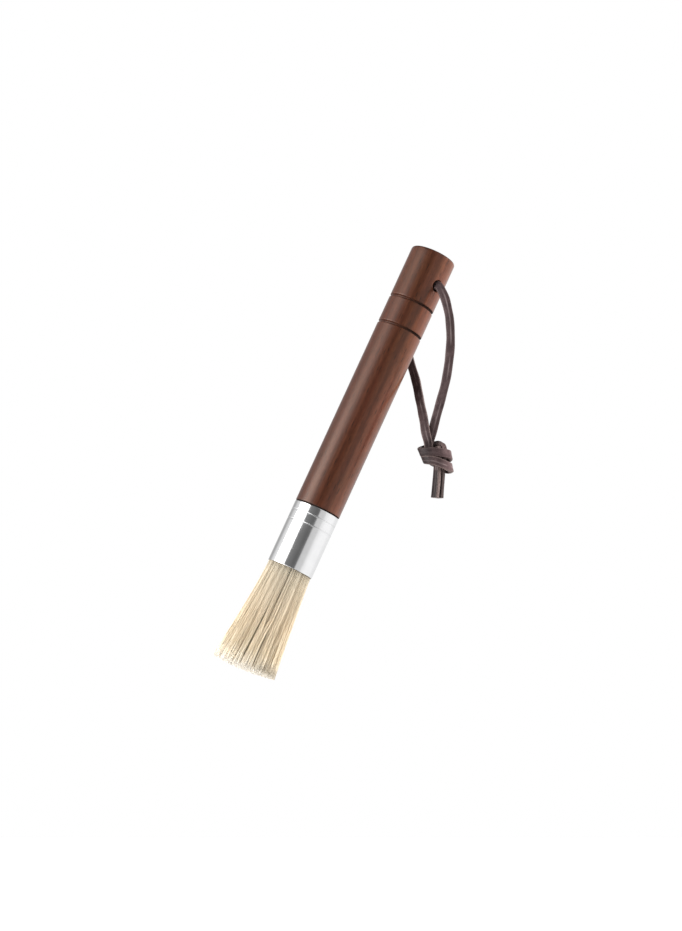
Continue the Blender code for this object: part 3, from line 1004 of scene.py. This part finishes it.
def rootPlaces(inner, outer, start, end, hairs, draw):
    # where the lock's hairs and clumps stand, and the nearest clump to each hair
    share = np.sqrt(draw.uniform(inner ** 2, outer ** 2, hairs))
    if outer == 1.0:
        rim = draw.random(hairs) < bundle["rimHairs"]
        share = np.where(rim, draw.uniform(*bundle["rim"], hairs), share)
    angle = draw.uniform(start, end, hairs)
    clumps = max(hairs // bundle["hairsInClump"], 1)
    clumpShare = np.sqrt(draw.uniform(inner ** 2, outer ** 2, clumps))
    clumpAngle = draw.uniform(start, end, clumps)
    gaps = flatPlace(share, angle)[:, None] - flatPlace(clumpShare, clumpAngle)[None]
    owner = np.linalg.norm(gaps, axis=2).argmin(axis=1)
    return share, angle, clumpShare, clumpAngle, owner


def hairEnds(share, angle, clumps, owner, draw):
    # depth of each tip: a slight crown and slant, and uneven clumps and hairs
    shortest, longest = -bundle["uneven"], bundle["uneven"] * 0.7
    clumpLength = draw.normal(0, bundle["uneven"] * 0.5, clumps).clip(shortest, longest)
    tip = bundle["length"] - bundle["crown"] * share ** 2 - bundle["tipTilt"] * share * np.cos(angle)
    tip += clumpLength[owner] + draw.normal(0, bundle["uneven"] * 0.55, len(share)).clip(shortest, longest)
    return tip


def makeLock(name, inner, outer, start, end, hairs, draw, template, partings):
    points, faces = template
    share, angle, clumpShare, clumpAngle, owner = rootPlaces(inner, outer, start, end, hairs, draw)
    clumps = len(clumpShare)
    tip = hairEnds(share, angle, clumps, owner, draw)
    held = bundle["heldDepth"]
    depth = -held - points[:, 2][None] * (tip + held)[:, None]
    # each hair leans to its clump, and a little to the middle of its lock
    x, y = bundlePlace(share[:, None], angle[:, None], depth, partings)
    cx, cy = bundlePlace(clumpShare[owner][:, None], clumpAngle[owner][:, None], depth, partings)
    progress = smoothStep((depth / bundle["length"] - bundle["pullStart"]) / bundle["pullLength"])
    pull = bundle["clumpPull"] * draw.uniform(0.4, 1.15, clumps)[owner][:, None] * progress
    middle = (inner + outer) / 2 if inner else 0.0
    mx, my = bundlePlace(np.full((1, 1), middle), np.full((1, 1), (start + end) / 2), depth, partings)
    lockPull = bundle["lockPull"] * progress
    x = x + (cx - x) * pull
    y = y + (cy - y) * pull
    x = x + (mx - x) * lockPull * 0.5
    y = y + (my - y) * lockPull * 0.5
    # natural waves and curls
    free = np.clip(depth / bundle["length"], 0, 1)
    for target in (x, y):
        phase = draw.uniform(0, math.tau, (hairs, 2))
        target += bundle["wave"] * free * np.sin(free * 9 + phase[:, :1]) * draw.uniform(0.2, 1, (hairs, 1))
        target += bundle["curl"] * free ** 2 * draw.normal(0, 0.5, (hairs, 1))
    radius = bundle["hairRadius"] * draw.uniform(0.75, 1.25, (hairs, 1))
    spin = draw.uniform(0, math.tau, (hairs, 1))
    px = points[:, 0] * np.cos(spin) - points[:, 1] * np.sin(spin)
    py = points[:, 0] * np.sin(spin) + points[:, 1] * np.cos(spin)
    spots = np.stack([x + px * radius, y + py * radius, mouth - depth], axis=-1).reshape(-1, 3)
    count = len(points)
    allFaces = [[v + k * count for v in face] for k in range(hairs) for face in faces]
    mesh = bpy.data.meshes.new(name)
    mesh.from_pydata(spots.tolist(), [], allFaces)
    mesh.transform(turnBrush)
    hairTone = draw.uniform(0, 1, hairs) * 0.45 + draw.uniform(0, 1, clumps)[owner] * 0.55
    along = np.clip(depth / bundle["length"], 0, 1.05).ravel()
    for label, values in (("along", along), ("tone", np.repeat(hairTone, count))):
        layer = mesh.attributes.new(label, "FLOAT", "POINT")
        layer.data.foreach_set("value", values.astype(np.float32))
    mesh.shade_smooth()
    obj = bpy.data.objects.new(name, mesh)
    bpy.context.scene.collection.objects.link(obj)
    return obj


def bristleMaterial():
    made, nodes, links, shader = newMaterial("hogBristle")
    # dark in the ferrule's shade, pale and split at the tips; a few hairs are darker than the rest
    length = addRamp(nodes, links, addAttribute(nodes, "along").outputs["Fac"], [
        (0.0, (0.38, 0.33, 0.25)), (0.035, (0.60, 0.53, 0.415)), (0.10, (0.66, 0.575, 0.445)),
        (0.5, (0.76, 0.635, 0.465)), (0.80, (0.85, 0.73, 0.545)), (0.93, (0.95, 0.86, 0.71)),
        (1.0, (0.97, 0.92, 0.84)),
    ])
    spread = addRamp(nodes, links, addAttribute(nodes, "tone").outputs["Fac"], [
        (0.0, (0.42, 0.35, 0.27)), (0.10, (0.66, 0.60, 0.52)), (0.28, (0.93, 0.91, 0.88)),
        (0.6, (0.99, 0.985, 0.97)), (1.0, (1.06, 1.06, 1.05)),
    ])
    links.new(mixColors(nodes, links, 1.0, length, spread, "MULTIPLY"), shader.inputs["Base Color"])
    speck = addNoise(nodes, links, objectPlace(nodes), 900, 3, 0.5)
    rough = addGreys(nodes, links, speck.outputs["Fac"], 0.3, 0.42, 0.7, 0.58)
    links.new(rough, shader.inputs["Roughness"])
    setInputs(shader, Specular_IOR_Level=0.22)
    return made


def makeCore():
    # the imported middle of the bundle, which closes the view between the hairs; its darker colour is painted
    # shade between them
    rings = [(bundle["coreRadius"], mouth + bundle["coreTop"]), (bundle["coreRadius"], mouth + 0.5 * mm)]
    for depth in bundle["coreDepths"]:
        share = bundle["coreShare"] - bundle["coreTaper"] * depth
        rings.append((share * float(bundleRadius(depth * mm)), mouth - depth * mm))
    core = turnedPiece("heldRoot", rings, 72)
    putOnBrush(core)
    activate(core)
    bpy.ops.object.shade_smooth()
    return core


def coreMaterial():
    made, nodes, links, shader = newMaterial("packedBristle")
    turned = addMapping(nodes, links, objectPlace(nodes), (1, 1, 0.04), turn=(0, -lean, 0))
    strands = addNoise(nodes, links, turned, 2600, 3, 0.6).outputs["Fac"]
    # painted shade: the packed middle is darker than the loose hairs
    tone = addRamp(nodes, links, strands, [(0.35, (0.26, 0.20, 0.13)), (0.65, (0.62, 0.50, 0.35))])
    links.new(tone, shader.inputs["Base Color"])
    links.new(addBump(nodes, links, strands, 0.5, 0.0002), shader.inputs["Normal"])
    setInputs(shader, Roughness=0.8)
    return made


core = makeCore()
core.data.materials.append(coreMaterial())
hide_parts("bristle_root")
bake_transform(core)

draw = np.random.default_rng(bundle["seed"])
partings = partingList(random.Random(bundle["seed"]))
template = hairTemplate()
bristle = bristleMaterial()
number = 0
for inner, outer, count in bundle["rings"]:
    for i in range(count):
        number += 1
        hairs = int(bundle["hairs"] * (outer ** 2 - inner ** 2) / count)
        start, end = math.tau * i / count, math.tau * (i + 1) / count
        name = f"bristleLock{number:02d}"
        lock = makeLock(name, inner, outer, start, end, hairs, draw, template, partings)
        lock.data.materials.append(bristle)
        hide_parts(f"tuft_{number:02d}")
        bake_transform(lock)
print("bristle bundle is set,", number, "locks")
